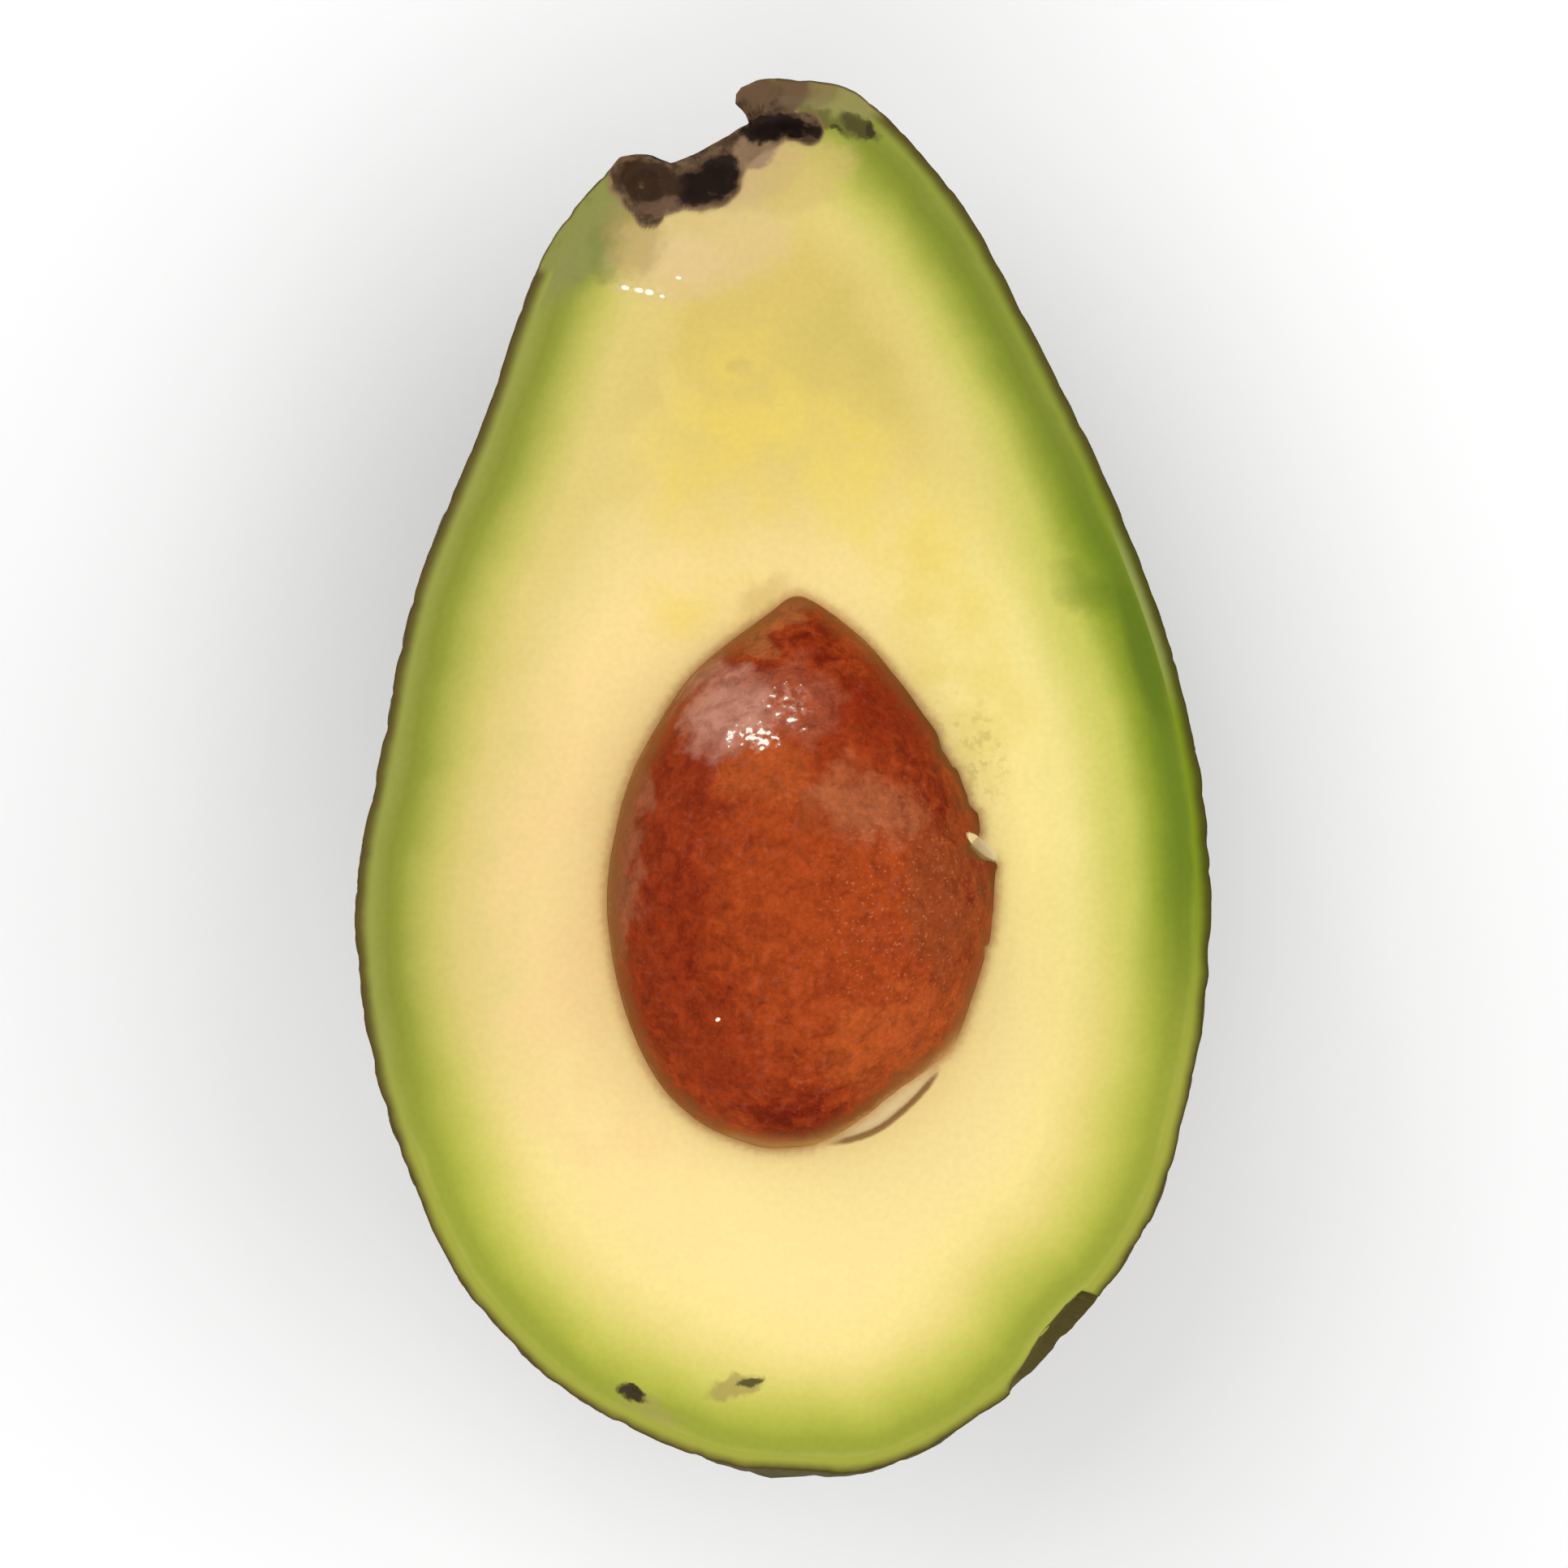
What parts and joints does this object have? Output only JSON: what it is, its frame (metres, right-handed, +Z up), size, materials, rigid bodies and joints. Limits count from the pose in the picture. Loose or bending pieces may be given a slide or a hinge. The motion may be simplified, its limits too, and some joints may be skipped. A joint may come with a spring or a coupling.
{
  "type": "avocado half",
  "caption": "Half of a pear-shaped avocado, cut lengthwise, lying on its pebbled peel with the stone standing in the cut flesh.",
  "frame": {"origin": "on the surface that the half rests on, under the middle of its bounding box", "axes": "+Z up, square out of the cut face; +Y along the fruit towards its stem end; +X to the right, seen from above the cut face"},
  "size_m": [0.0689, 0.1127, 0.0511],
  "materials": {
    "peel": "satin",
    "flesh": "satin",
    "stone": "gloss"
  },
  "bodies": {
    "root": {"peel": "peel", "flesh": "flesh", "stone": "stone"}
  },
  "joints": []
}
